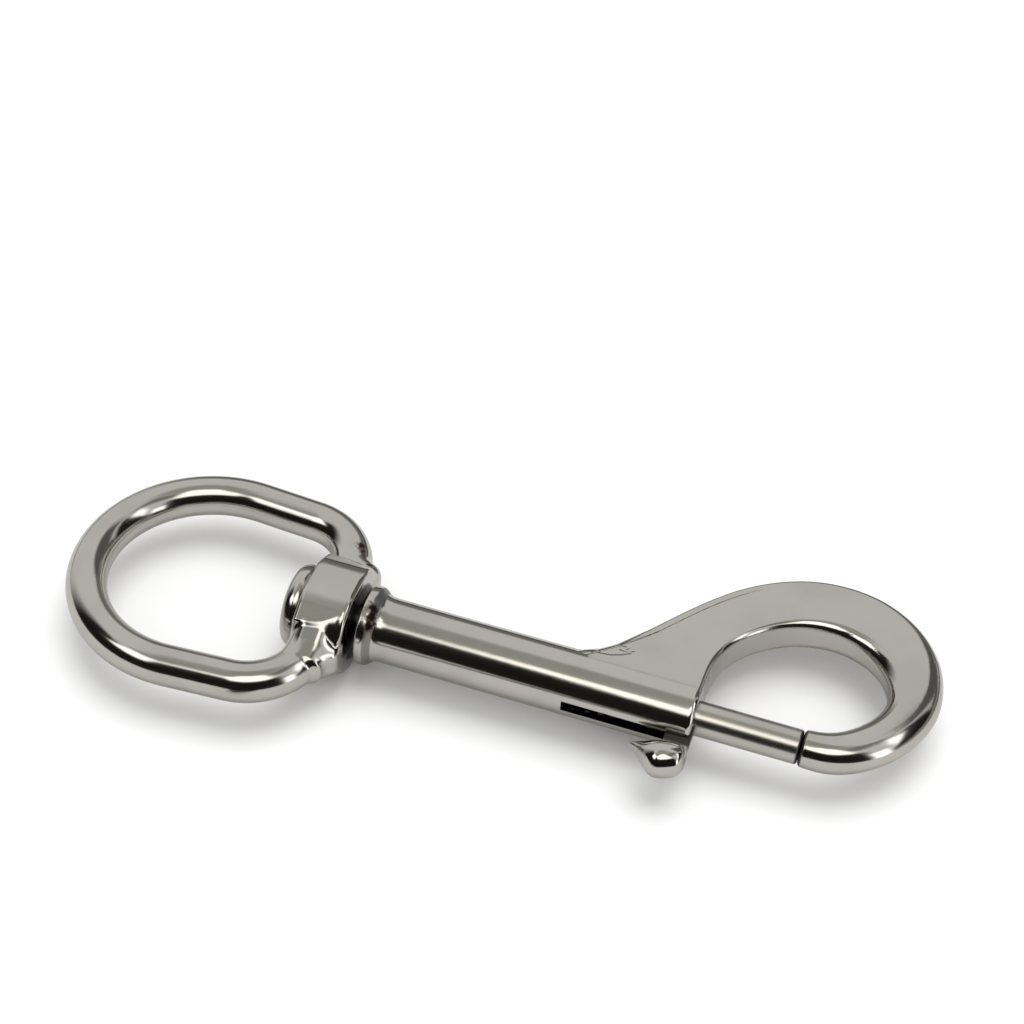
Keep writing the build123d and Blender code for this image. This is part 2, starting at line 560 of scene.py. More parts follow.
class Graph:
    """A node tree that nodes are added to."""

    def __init__(self, tree: bpy.types.NodeTree) -> None:
        """Empties the tree."""
        self.tree = tree
        tree.nodes.clear()

    def add(self, kind: str, settings: dict | None = None, inputs: dict | None = None,
            output: int | str = 0) -> Signal:
        """Adds a node.

        Args:
            kind: Type name of the node.
            settings: Its settings, set before its inputs.
            inputs: Values or signals, by input name or number.
            output: The output that is wanted from it.

        Returns:
            That output.
        """
        node = self.tree.nodes.new(kind)
        for name, value in (settings or {}).items():
            setattr(node, name, value)
        for name, value in (inputs or {}).items():
            if isinstance(value, Signal):
                self.tree.links.new(value.socket, node.inputs[name])
            else:
                node.inputs[name].default_value = value
        return Signal(self, node.outputs[output]) if node.outputs else Signal(self, None)

    def split(self, vector: Signal) -> tuple[Signal, Signal, Signal]:
        """The three parts of a vector."""
        node = self.add("ShaderNodeSeparateXYZ", {}, {0: vector}).socket.node
        return tuple(Signal(self, part) for part in node.outputs)

    def blend(self, share: Signal | float, a: Signal | Colour, b: Signal | Colour) -> Signal:
        """Colour a where share is 0 and colour b where it is 1."""
        return self.add("ShaderNodeMix", {"data_type": "RGBA"}, {0: share, 6: a, 7: b}, 2)


def rgb(r: float, g: float, b: float) -> Colour:
    """An opaque colour."""
    return (r, g, b, 1.0)


# ---- finishes ----
class Wear(Enum):
    """How a plated piece has been finished."""

    CAST = "die cast, tumbled and plated"
    DRAWN = "drawn bar, plated"


@dataclass(frozen=True)
class DarkSpot:
    """A small dark spot in the plating's colour."""

    place: Triple
    reach: float
    colour: Colour = rgb(0.085, 0.028, 0.022)


@dataclass(frozen=True)
class PaintedShadeBand:
    """A band round the barrel axis darkened in colour: painted shade in a gap or hollow."""

    start: float
    end: float
    reach: float
    strength: float = 0.94
    soft: float = 0.12
    fringe: float = 0.7
    colour: Colour = rgb(0.024, 0.018, 0.015)


@dataclass(frozen=True)
class NickelPlate:
    """Bright nickel plating."""

    name: str
    wear: Wear = Wear.CAST
    tint: Colour = rgb(0.575, 0.560, 0.520)
    speck: Colour = rgb(0.30, 0.29, 0.27)
    gloss: float = 0.10
    cloud_scale: float = 110.0
    grain_scale: float = 2600.0
    ripple_scale: float = 420.0
    ragged_scale: float = 1500.0
    dark_spots: tuple[DarkSpot, ...] = ()
    painted_shade: tuple[PaintedShadeBand, ...] = ()

    def material(self) -> bpy.types.Material:
        """Builds the material.

        Returns:
            A metal whose tone, roughness and surface vary a little from place to place.
        """
        made = bpy.data.materials.new(self.name)
        made.use_nodes = True
        g = Graph(made.node_tree)
        where = g.add("ShaderNodeTexCoord", output="Object")

        def noise(scale: float, detail: float, rough: float = 0.5) -> Signal:
            """Noise with features of about 1/scale metres."""
            values = {"Vector": where, "Scale": scale, "Detail": detail, "Roughness": rough}
            return g.add("ShaderNodeTexNoise", {}, values, "Fac")

        cloud = noise(self.cloud_scale, 3.0)
        grain = noise(self.grain_scale, 4.0, 0.6)
        ripple = noise(self.ripple_scale, 2.0)
        darker = rgb(*(c * 0.93 for c in self.tint[:3]))
        colour = g.blend(cloud.rise(0.35, 0.68), self.tint, darker)
        colour = g.blend(grain.rise(0.62, 0.80) * 0.10, colour, self.speck)
        rough = self.gloss + 0.030 * cloud + 0.030 * grain
        # Small dark spots in the plating's colour; on the hook's flare they are painted dark reflection.
        for dark_spot in self.dark_spots:
            reach = dark_spot.reach * MM
            spot = tuple(c * MM for c in dark_spot.place)
            off = g.add("ShaderNodeVectorMath", {"operation": "DISTANCE"}, {0: where, 1: spot}, "Value")
            ragged = (noise(self.ragged_scale, 3.0) - 0.5) * (1.6 * reach)
            patch = 1 - (off + ragged).rise(0.25 * reach, reach)
            colour = g.blend(patch, colour, dark_spot.colour)
            rough = rough + patch * 0.35
        # Painted shade: bands round the barrel axis are darkened where gaps and hollows lie in shade.
        if self.painted_shade:
            flat = {0: where, 1: (0.0, 1.0, 1.0)}
            flat = g.add("ShaderNodeVectorMath", {"operation": "MULTIPLY"}, flat, "Vector")
            out = g.add("ShaderNodeVectorMath", {"operation": "LENGTH"}, {0: flat}, "Value")
            out = out + (grain - 0.5) * (0.6 * MM)
            along = g.split(where)[0]
        for band in self.painted_shade:
            patch = along.between(band.start * MM, band.end * MM, band.soft * MM)
            patch = patch * (1 - out.rise((band.reach - band.fringe) * MM, band.reach * MM))
            colour = g.blend(patch * band.strength, colour, band.colour)
            rough = rough + patch * 0.25
        depth = 0.05 if self.wear is Wear.DRAWN else 0.08
        relief = {"Strength": depth, "Distance": 0.12 * MM, "Height": ripple + 0.05 * grain}
        bump = g.add("ShaderNodeBump", {}, relief, "Normal")
        metal = g.add("ShaderNodeBsdfPrincipled", {}, {
            "Base Color": colour, "Metallic": 1.0, "Roughness": rough, "Normal": bump}, "BSDF")
        g.add("ShaderNodeOutputMaterial", {}, {"Surface": metal})
        return made


@dataclass(frozen=True)
class SpringWire:
    """Drawn spring wire, its colour darkened as painted shade inside the bore."""

    name: str = "spring_wire"

    def material(self) -> bpy.types.Material:
        """Builds the material.

        Returns:
            A steel darkened as painted shade inside the bore, with drawing marks.
        """
        made = bpy.data.materials.new(self.name)
        made.use_nodes = True
        g = Graph(made.node_tree)
        where = g.add("ShaderNodeTexCoord", output="Object")
        marks = g.add("ShaderNodeTexNoise", {}, {"Vector": where, "Scale": 2400.0, "Detail": 4.0}, "Fac")
        # Painted shade: near-black steel so that the thumb slot looks dark.
        colour = g.blend(marks.rise(0.35, 0.7), rgb(0.075, 0.070, 0.065), rgb(0.035, 0.032, 0.030))
        relief = {"Strength": 0.2, "Distance": 0.03 * MM, "Height": marks}
        bump = g.add("ShaderNodeBump", {}, relief, "Normal")
        metal = g.add("ShaderNodeBsdfPrincipled", {}, {
            "Base Color": colour, "Metallic": 1.0, "Roughness": 0.22 + 0.2 * marks, "Normal": bump}, "BSDF")
        g.add("ShaderNodeOutputMaterial", {}, {"Surface": metal})
        return made


def settle_in(obj: Object, body: str, node: str, material: bpy.types.Material) -> None:
    """Puts a finished piece in the place of its CAD node.

    Args:
        obj: The piece.
        body: Body that it moves with.
        node: CAD node that it stands for.
        material: Its finish.
    """
    obj.data.materials.clear()
    obj.data.materials.append(material)
    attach(obj, body)
    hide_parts(node)
    log.info("%s: %d faces, rides on %s, stands for %s", obj.name, len(obj.data.polygons), body, node)


# ---- sub-assemblies ----
@dataclass
class SwivelEye:
    """The strap eye, cast in one with its faceted collar and two shoulders."""

    ring_r: float = 16.6
    lean: float = math.radians(4.0)
    corner_r: float = 8.6
    rod_r: float = 2.8
    arm_x: float = 17.6
    collar_x: Pair = (14.9, 21.9)
    collar_half: Pair = (6.6, 6.5)
    flat_half: Pair = (4.5, 3.1)
    draft: float = math.radians(20.0)
    facet_soft: float = 0.8
    wall_soft: Pair = (0.14, 1.3)
    wear_x: Pair = (16.3, 20.8)
    collar_soft: Pair = (0.55, 0.75)
    bore_r: float = 2.48
    bore_x: float = 10.0
    bore_soft: float = 0.25
    shoulder: Triple = (22.3, 9.7, 2.7)
    shoulder_soft: Triple = (2.4, 2.0, 1.0)
    shoulder_back: float = 17.0
    front_soft: float = 0.3
    arm_fillet: float = 1.0
    collar_fillet: float = 0.35
    ramp_x: Pair = (15.1, 20.7)
    ramp_y: Pair = (-11.0, -5.6)
    ramp_start: Pair = (6.4, 4.5)
    ramp_fall: float = 0.5
    ramp_soft: Triple = (2.0, 0.5, 0.8)
    grid_x: Spans = ((-20, 14, 0.3), (14, 23, 0.16))
    grid_y: Spans = ((-20, -10.4, 0.27), (-10.4, -5.8, 0.13), (-5.8, 5.8, 0.2), (5.8, 7.0, 0.13),
                     (7.0, 20, 0.27))
    grid_z: Spans = ((-7, 0.4, 0.255), (0.4, 2.0, 0.1), (2.0, 4.2, 0.2), (4.2, 7, 0.14))

    def rod(self, x: Array, w: Array, z: Array) -> Array:
        """Field of the bent round rod.

        Args:
            x, w, z: Coordinate along the barrel, distance from its axis in plan, and height.

        Returns:
            The field there.
        """
        nx, ny = math.sin(self.lean), math.cos(self.lean)
        cx = self.arm_x - self.corner_r
        cy = (self.ring_r - self.corner_r - nx * cx) / ny
        along = x * ny - w * nx
        end = cx * ny - cy * nx
        plan = np.where(along <= 0, np.abs(np.hypot(x, w) - self.ring_r), FAR)
        straight = np.abs(x * nx + w * ny - self.ring_r)
        plan = np.minimum(plan, np.where((along > 0) & (along < end), straight, FAR))
        bend = np.abs(np.hypot(x - cx, w - cy) - self.corner_r)
        plan = np.minimum(plan, np.where((along >= end) & (w > cy), bend, FAR))
        plan = np.minimum(plan, np.where(w <= cy, np.abs(x - self.arm_x), FAR))
        return np.hypot(plan, z) - self.rod_r

    def collar(self, x: Array, w: Array, h: Array) -> Array:
        """Field of the faceted collar, its side edges worn towards the front.

        Args:
            x, w, h: Coordinate along the barrel, and distances from its axis in plan and in height.

        Returns:
            The field there.
        """
        side, top = self.flat_half
        wide, high = self.collar_half
        nw, nh = high - side, wide - top
        facet = ((w - top) * nw + (h - high) * nh) / math.hypot(nw, nh)
        wall = (w - wide) * math.cos(self.draft) + (h - side) * math.sin(self.draft)
        sharp, growth = self.wall_soft
        worn = sharp + growth * part_way(x, *self.wear_x) ** 2
        block = meet(meet(h - high, facet, self.facet_soft), wall, worn)
        block = meet(block, self.collar_x[0] - x, self.collar_soft[0])
        return meet(block, x - self.collar_x[1], self.collar_soft[1])

    def ramp(self, x: Array, y: Array, h: Array) -> Array:
        """Field of the worn slope from the collar to the near arm.

        Args:
            x, y, h: Coordinates along the barrel and across it, and distance from the middle plane.

        Returns:
            The field there.
        """
        out, up = self.ramp_start
        slope = (h - up + self.ramp_fall * (np.abs(y) - out)) / math.hypot(1, self.ramp_fall)
        slope = meet(slope, slab(x, *self.ramp_x), self.ramp_soft[0])
        return meet(slope, slab(y, *self.ramp_y), self.ramp_soft[1])

    def field(self, x: Array, y: Array, z: Array) -> Array:
        """Field of the whole casting.

        Args:
            x, y, z: Coordinates along the barrel, across it and up.

        Returns:
            The field there.
        """
        w, h = np.abs(y), np.abs(z)
        front, out, up = self.shoulder
        plan_soft, top_soft, back_soft = self.shoulder_soft
        ear = meet(meet(x - front, w - out, plan_soft), h - up, top_soft)
        ear = meet(ear, self.shoulder_back - x, back_soft)
        arms = join(self.rod(x, w, z), ear, self.arm_fillet)
        arms = join(arms, self.ramp(x, y, h), self.ramp_soft[2])
        body = join(arms, self.collar(x, w, h), self.collar_fillet)
        body = meet(body, x - front, self.front_soft)
        return cut(body, np.maximum(np.hypot(y, z) - self.bore_r, self.bore_x - x), self.bore_soft)

    def build(self) -> Object:
        """Builds and dresses the eye.

        Returns:
            The finished piece.
        """
        eye = Skin(self.field, self.grid_x, self.grid_y, self.grid_z).mesh("strap_eye")
        plate = NickelPlate(
            "nickel_eye",
            # A row of small dark red-brown spots along the far shoulder where it meets the collar.
            dark_spots=(DarkSpot((17.9, 11.2, 2.5), 0.95), DarkSpot((18.6, 10.5, 2.5), 0.7),
                    DarkSpot((19.2, 9.8, 2.6), 0.7), DarkSpot((19.8, 9.0, 2.7), 0.7),
                    DarkSpot((20.4, 8.2, 2.7), 0.75), DarkSpot((21.0, 7.5, 2.6), 0.6)),
            # Painted shade on the collar's front in the gap to the flange.
            painted_shade=(PaintedShadeBand(21.6, 23.0, 5.7),))
        settle_in(eye, "eye", "swivel_eye", plate.material())
        return eye


@dataclass
class SwivelRivet:
    """The headed rivet that the collar turns on."""

    head: tuple[Pair, ...] = (
        (11.8, 0.0), (11.93, 2.436), (12.3, 4.582), (12.85, 5.481), (13.7, 5.8), (14.35, 5.713),
        (14.8, 5.423))
    stem_r: float = 2.40
    stem_soft: float = 0.1
    flange_x: float = 22.9
    shank_r: float = 2.42
    shank_end: float = 31.0
    shank_soft: Pair = (0.005, 0.4)

    def build(self) -> Object:
        """Builds and dresses the rivet.

        Returns:
            The finished piece.
        """
        crown = flowing(self.head, 6)
        under, rim = self.head[-1]
        step, tip = self.shank_soft
        stem = rounded_line([(under, rim, 0), (under, self.stem_r, self.stem_soft),
                             (self.flange_x, self.stem_r, 0)])
        shank = rounded_line([(self.flange_x, self.stem_r, 0), (self.flange_x, self.shank_r, step),
                              (self.shank_end, self.shank_r, tip), (self.shank_end, 0, 0)])
        rivet = Turned([crown, stem, shank]).mesh("rivet")
        # Painted shade on the stem in the gap between collar and flange.
        plate = NickelPlate("nickel_rivet", Wear.DRAWN, painted_shade=(PaintedShadeBand(21.6, 23.6, 3.0),))
        settle_in(rivet, "hook", "swivel_rivet", plate.material())
        return rivet


@dataclass
class HookBody:
    """The casting of barrel, web and hook."""

    rim: Triple = (5.5, 23.05, 0.33)
    flare: tuple[Pair, ...] = (
        (23.9, 5.5), (24.2, 5.42), (24.55, 5.20), (24.85, 4.95), (25.2, 4.73), (25.7, 4.58), (26.4, 4.51),
        (27.2, 4.5))
    barrel_r: float = 4.5
    mouth_x: float = 69.5
    mouth_lip: float = 0.9
    mouth_cut: tuple[Pair, Pair, float] = ((69.5, 78.0), (-7.0, 6.8), 0.22)
    bore_r: float = 2.40
    bore_end: float = 75.0
    bore_soft: float = 0.2
    slot: tuple[Pair, Pair, Pair] = (
        (52.0, 71.5), (-6.5, 0.0), (-0.85, 0.85))
    gap: tuple[Pair, Pair, float] = ((70.5, 83.56), (-4.0, 4.0), 0.6)
    crown: Triple = (2.02, 11.0, 1.2)
    crown_most: float = 1.1
    crown_fall: Triple = (0.3, 0.94, 3.0)
    crown_x: tuple[Pair, Pair] = ((49.5, 54.0), (75.0, 70.0))
    lean: Triple = (0.02, 1.6, 6.0)
    lean_span: tuple[float, ...] = (0.20, 0.29, 0.37, 0.45)
    seam: Triple = (0.11, -1.4, -1.1)
    seam_span: Pair = (0.58, 0.69)
    root_fillet: Pair = (0.05, 1.1)
    root_edge: Pair = (-1.2, -0.2)
    root_x: Pair = (62.0, 58.0)
    scar: Pair = (0.05, 0.2)
    scar_lines: tuple[tuple[Pair, ...], ...] = (
        ((58.9, 5.3), (58.2, 4.75), (57.3, 4.9), (57.1, 5.6), (57.6, 6.0), (58.1, 5.6), (57.9, 5.2)),
        ((54.0, 3.05), (54.95, 3.05), (56.25, 3.25), (57.5, 3.85), (58.6, 4.7)))
    stations: tuple[tuple[Pair, Pair, float, float, float], ...] = (
        ((78.0, 2.5), (78.0, -2.5), 5.0, 2.48, 2.48),
        ((81.0, 2.5), (81.0, -2.5), 5.0, 2.48, 2.48),
        ((83.8, 2.5), (83.8, -2.5), 5.0, 2.48, 2.48),
        ((86.4, 2.9), (87.2, -2.4), 5.2, 2.50, 2.50),
        ((89.0, 4.5), (91.9, -0.6), 5.3, 2.50, 2.50),
        ((91.3, 7.2), (96.3, 3.5), 5.4, 2.60, 2.60),
        ((92.7, 11.6), (99.6, 11.4), 5.4, 2.60, 2.60),
        ((90.2, 16.8), (97.1, 22.3), 5.4, 2.40, 2.30),
        ((85.2, 19.6), (88.9, 28.2), 5.4, 1.80, 1.40),
        ((79.9, 19.4), (79.0, 28.25), 5.4, 1.35, 0.90),
        ((74.6, 16.5), (69.35, 22.65), 5.3, 1.00, 0.50),
        ((71.0, 12.2), (62.2, 14.45), 5.2, 0.80, 0.50),
        ((69.6, 8.0), (57.1, 7.8), 5.2, 0.75, 0.60),
        ((69.4, 4.0), (53.3, 3.5), 5.2, 0.75, 1.40),
        ((69.4, 0.5), (50.4, 0.5), 5.2, 0.75, 1.20),
        ((69.4, -1.5), (48.8, -1.5), 5.2, 0.75, 1.20),
    )
    grid_x: Spans = ((22.3, 27.1, 0.1), (27.1, 48, 0.42), (48, 60, 0.17), (60, 68.3, 0.22),
                     (68.3, 70.1, 0.12), (70.1, 83.1, 0.3), (83.1, 84.5, 0.12), (84.5, 100.4, 0.3))
    grid_y: Spans = ((-6.1, 2.4, 0.22), (2.4, 7.4, 0.15), (7.4, 23.4, 0.22), (23.4, 29.4, 0.3))
    grid_z: Spans = ((-6.0, 6.0, 0.22),)
    # Start, end and spacing of each chart.
    chart_x: Triple = (43.0, 101.5, 0.15)
    chart_y: Triple = (-6.0, 30.5, 0.15)
    barrel_chart_x: Triple = (21.5, 71.5, 0.07)
    barrel_chart_r: Triple = (-0.5, 7.0, 0.07)
    barrel_chart_reach: float = 6.5
    charts: dict[str, Chart] = field(default_factory=dict)

    def chart_hook(self) -> None:
        """Charts the hook from its stations, and its casting marks.

        Each station is a point of the inner edge, a point of the outer edge, the
        thickness there and the rounding of the two edges.
        """
        inner = flowing([s[0] for s in self.stations])
        outer = flowing([s[1] for s in self.stations])
        x, y = np.arange(*self.chart_x), np.arange(*self.chart_y)
        gx, gy = np.meshgrid(x, y, indexing="ij")
        count = min(len(inner), len(outer))
        place = nearest_on(gx, gy, (inner[:count] + outer[:count]) / 2)[1] / (count - 1)
        from_inner = nearest_on(gx, gy, inner)[0]
        within = from_inner < nearest_on(gx, gy, outer)[0]
        at = np.linspace(0, 1, len(self.stations))
        tall, inside, outside = (np.interp(place, at, [s[k] for s in self.stations]) for k in (2, 3, 4))
        fall, start, longest = self.lean
        worn = fall * np.interp(place, self.lean_span, [0, 1, 1, 0])
        marks = [nearest_on(gx, gy, np.array(line))[0] for line in self.scar_lines]
        values = {
            "edge": edge_distance(gx, gy, np.concatenate([inner, outer[::-1]])),
            "top": tall / 2 - worn * np.clip(from_inner - start, 0, longest) ** 2,
            "round": np.where(within, inside, outside),
            "far": np.interp(place, self.seam_span, [0.0, 1.0]) * ~within,
            "scar": np.minimum(*marks),
        }
        self.charts.update({name: Chart(x, y, laid) for name, laid in values.items()})

    def chart_barrel(self) -> None:
        """Charts the turned outline of the barrel, from its flange to its mouth."""
        rim_r, rim_x, soft = self.rim
        lip = self.mouth_lip - soft
        x, r = self.mouth_x - self.mouth_lip, self.barrel_r - self.mouth_lip
        line = [(rim_x + soft, 0), (rim_x + soft, rim_r - soft)]
        line += [(u, v - soft) for u, v in flowing(self.flare, 6)]
        line += [(x + lip * math.cos(a), r + lip * math.sin(a)) for a in np.linspace(math.pi / 2, 0, 9)]
        line += [(self.mouth_x - soft, 0)]
        x, r = np.arange(*self.barrel_chart_x), np.arange(*self.barrel_chart_r)
        gx, gr = np.meshgrid(x, r, indexing="ij")
        self.charts["barrel"] = Chart(x, r, edge_distance(gx, gr, np.array(line)) - soft)

    def field(self, x: Array, y: Array, z: Array) -> Array:
        """Field of the casting, without its thumb slot.

        Args:
            x, y, z: Coordinates along the barrel, across it and up.

        Returns:
            The field there.
        """
        r = np.hypot(y, z)
        barrel = self.charts["barrel"].read(x + 0 * r, r + 0 * x)
        barrel = np.where(r > self.barrel_chart_reach, r - self.rim[0], barrel)
        names = ("edge", "top", "round", "far", "scar")
        edge, top, soft, far, scar = (self.charts[name].read(x, y) for name in names)
        lift, span, power = self.crown
        bend, start, longest = self.crown_fall
        rise = lift * np.clip(1 - y / span, 0, self.crown_most) ** power
        rise = rise - bend * np.clip(start - y, 0, longest) ** 2
        fade = part_way(x, *self.crown_x[0]) * part_way(x, *self.crown_x[1])
        depth, seam_out, seam_in = self.seam
        top = top + rise * eased(fade) - depth * eased(part_way(edge, seam_out, seam_in)) * far
        hook = meet(edge, np.abs(z) - top, soft)
        gap_x, gap_y, gap_soft = self.gap
        hook = cut(hook, np.maximum(slab(x, *gap_x), slab(y, *gap_y)), gap_soft)
        tight, wide = self.root_fillet
        wide = wide * part_way(edge, *self.root_edge) * part_way(x, *self.root_x)
        body = join(barrel, hook, tight + wide)
        body = body + furrow(scar, *self.scar) * (z > 0)
        mouth_x, mouth_y, mouth_soft = self.mouth_cut
        body = cut(body, np.maximum(slab(x, *mouth_x), slab(y, *mouth_y)), mouth_soft)
        return cut(body, np.maximum(r - self.bore_r, x - self.bore_end), self.bore_soft)

    def slot_bite(self) -> Object:
        """Makes the block that leaves the thumb slot.

        Returns:
            The block.
        """
        along, across, up = self.slot
        corners = [(x, y, z) for x in along for y in across for z in up]
        faces = [(0, 1, 3, 2), (4, 6, 7, 5), (0, 4, 5, 1), (2, 3, 7, 6), (0, 2, 6, 4), (1, 5, 7, 3)]
        return solid("slot_bite", np.array(corners), faces)

    def build(self) -> Object:
        """Builds and dresses the casting.

        Returns:
            The finished piece.
        """
        self.chart_hook()
        self.chart_barrel()
        skin = Skin(self.field, self.grid_x, self.grid_y, self.grid_z)
        casting = skin.mesh("hook_casting", self.slot_bite())
        # Painted reflection: dark red-brown spots on the flare's near top, where it mirrors a dark part of
        # the room.
        flare_reflection_maroon = rgb(0.05, 0.022, 0.020)
        plate = NickelPlate(
            "nickel_hook",
            dark_spots=(DarkSpot((24.5, -1.4, 4.9), 1.3, flare_reflection_maroon), DarkSpot((24.6, -2.6, 4.4), 1.4, flare_reflection_maroon),
                    DarkSpot((24.7, -3.6, 3.7), 1.1, flare_reflection_maroon)),
            # Painted shade on the flange's rear face in the gap, a lighter painted dark reflection on the
            # flare, and painted shade on the nose end in the gap to the bolt.
            painted_shade=(PaintedShadeBand(22.0, 23.15, 5.2), PaintedShadeBand(24.25, 25.25, 7.0, 0.45), PaintedShadeBand(83.2, 83.98, 3.3, 0.9)))
        settle_in(casting, "hook", "hook_body", plate.material())
        return casting


@dataclass
class LockBolt:
    """The sliding bolt that closes the hook."""

    x: Pair = (63.2, 83.5)
    r: float = 2.35
    shoulder_soft: float = 0.3
    end_soft: float = 0.45
    spigot: Pair = (61.0, 1.35)
    spigot_soft: Pair = (0.3, 0.2)

    def build(self) -> Object:
        """Builds and dresses the bolt.

        Returns:
            The finished piece.
        """
        x0, x1 = self.x
        rear, thin = self.spigot
        line = rounded_line([
            (rear, 0, 0), (rear, thin, self.spigot_soft[0]), (x0, thin, self.spigot_soft[1]),
            (x0, self.r, self.shoulder_soft), (x1, self.r, self.end_soft), (x1, 0, 0)])
        bolt = Turned([line]).mesh("bolt")
        # Painted shade on the bolt's end in the gap to the hook's nose.
        plate = NickelPlate("nickel_bolt", Wear.DRAWN, gloss=0.20, painted_shade=(PaintedShadeBand(83.17, 84.0, 3.2, 0.9),))
        settle_in(bolt, "bolt", "lock_bolt", plate.material())
        return bolt


@dataclass
class ThumbKnob:
    """The thumb knob, a drop with a flat inner face on a neck that stands out through the slot."""

    tip: Pair = (62.1, -7.2)
    nose: Pair = (70.0, -6.3)
    rounds: tuple[Triple, ...] = (
        (62.0, 7.20, 0.02), (63.1, 7.46, 0.64), (64.3, 8.05, 1.44), (65.9, 8.52, 2.35), (67.6, 8.35, 2.45),
        (69.2, 7.95, 2.05), (70.4, 7.75, 1.30))
    end: float = 69.9
    end_soft: float = 1.0
    tip_soft: float = 0.05
    face_soft: float = 0.2
    neck_x: Pair = (66.2, 69.7)
    neck_y: Pair = (-7.3, -1.75)
    neck_z: Pair = (-0.75, 0.75)
    neck_fillet: float = 0.3
    grids: tuple[Spans, Spans, Spans] = (((61.5, 70.8, 0.13),), ((-12.2, -1.4, 0.13),), ((-3.4, 3.4, 0.13),))

    def field(self, x: Array, y: Array, z: Array) -> Array:
        """Field of drop and neck.

        Args:
            x, y, z: Coordinates along the barrel, across it and up.

        Returns:
            The field there.
        """
        middle = flowing([(u, v) for u, v, _ in self.rounds], 160)
        swell = flowing([(u, r) for u, _, r in self.rounds], 160)
        drop = np.hypot(y + np.interp(x, *middle.T), z) - np.interp(x, *swell.T)
        drop = meet(drop, x - self.end, self.end_soft)
        drop = meet(drop, self.tip[0] - x, self.tip_soft)
        lean = math.atan2(self.nose[1] - self.tip[1], self.nose[0] - self.tip[0])
        inner = (y - self.tip[1]) * math.cos(lean) - (x - self.tip[0]) * math.sin(lean)
        drop = meet(drop, inner, self.face_soft)
        neck = np.maximum(slab(x, *self.neck_x), slab(y, *self.neck_y))
        return join(drop, np.maximum(neck, slab(z, *self.neck_z)), self.neck_fillet)

    def build(self) -> Object:
        """Builds and dresses the knob.

        Returns:
            The finished piece.
        """
        knob = Skin(self.field, *self.grids).mesh("knob")
        # Painted shade on the neck and the knob's inner side, under the barrel.
        plate = NickelPlate("nickel_knob", gloss=0.07, painted_shade=(PaintedShadeBand(65.0, 71.0, 6.3, 0.9),))
        settle_in(knob, "bolt", "thumb_knob", plate.material())
        return knob


@dataclass
class BoltSpring:
    """The compression spring behind the bolt."""

    wire_r: float = 0.28
    coil_r: float = 1.95
    turns: float = 17.0
    x: Pair = (31.28, 62.92)
    travel: float = 14.0
    per_turn: int = 28
    sides: int = 10

    def build(self) -> Object:
        """Builds and dresses the spring, with a mesh of its own.

        Returns:
            The finished piece.
        """
        n, count = self.sides, int(self.turns * self.per_turn) + 1
        points = []
        for a, cx in zip(np.linspace(0, self.turns * 2 * math.pi, count), np.linspace(*self.x, count)):
            for b in np.linspace(0, 2 * math.pi, n, endpoint=False):
                out = self.coil_r + self.wire_r * math.cos(b)
                points.append((cx + self.wire_r * math.sin(b), out * math.cos(a), out * math.sin(a)))
        faces = [[i * n + j, i * n + (j + 1) % n, (i + 1) * n + (j + 1) % n, (i + 1) * n + j]
                 for i in range(count - 1) for j in range(n)]
        faces += [list(range(n))[::-1], [(count - 1) * n + j for j in range(n)]]
        spring = solid("spring", np.array(points), faces)
        settle_in(spring, "hook", "bolt_spring", SpringWire().material())
        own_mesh(spring)
        return spring


# ---- studio ----
@dataclass(frozen=True)
class Patch:
    """A patch of the room between two heights and two bearings in degrees, with soft borders."""

    height: Triple
    bearing: Triple
    strength: float = 1.0

    def share(self, height: Signal, bearing: Signal) -> Signal:
        """How much of the patch is seen at a height and a bearing."""
        return height.between(*self.height) * bearing.between(*self.bearing) * self.strength


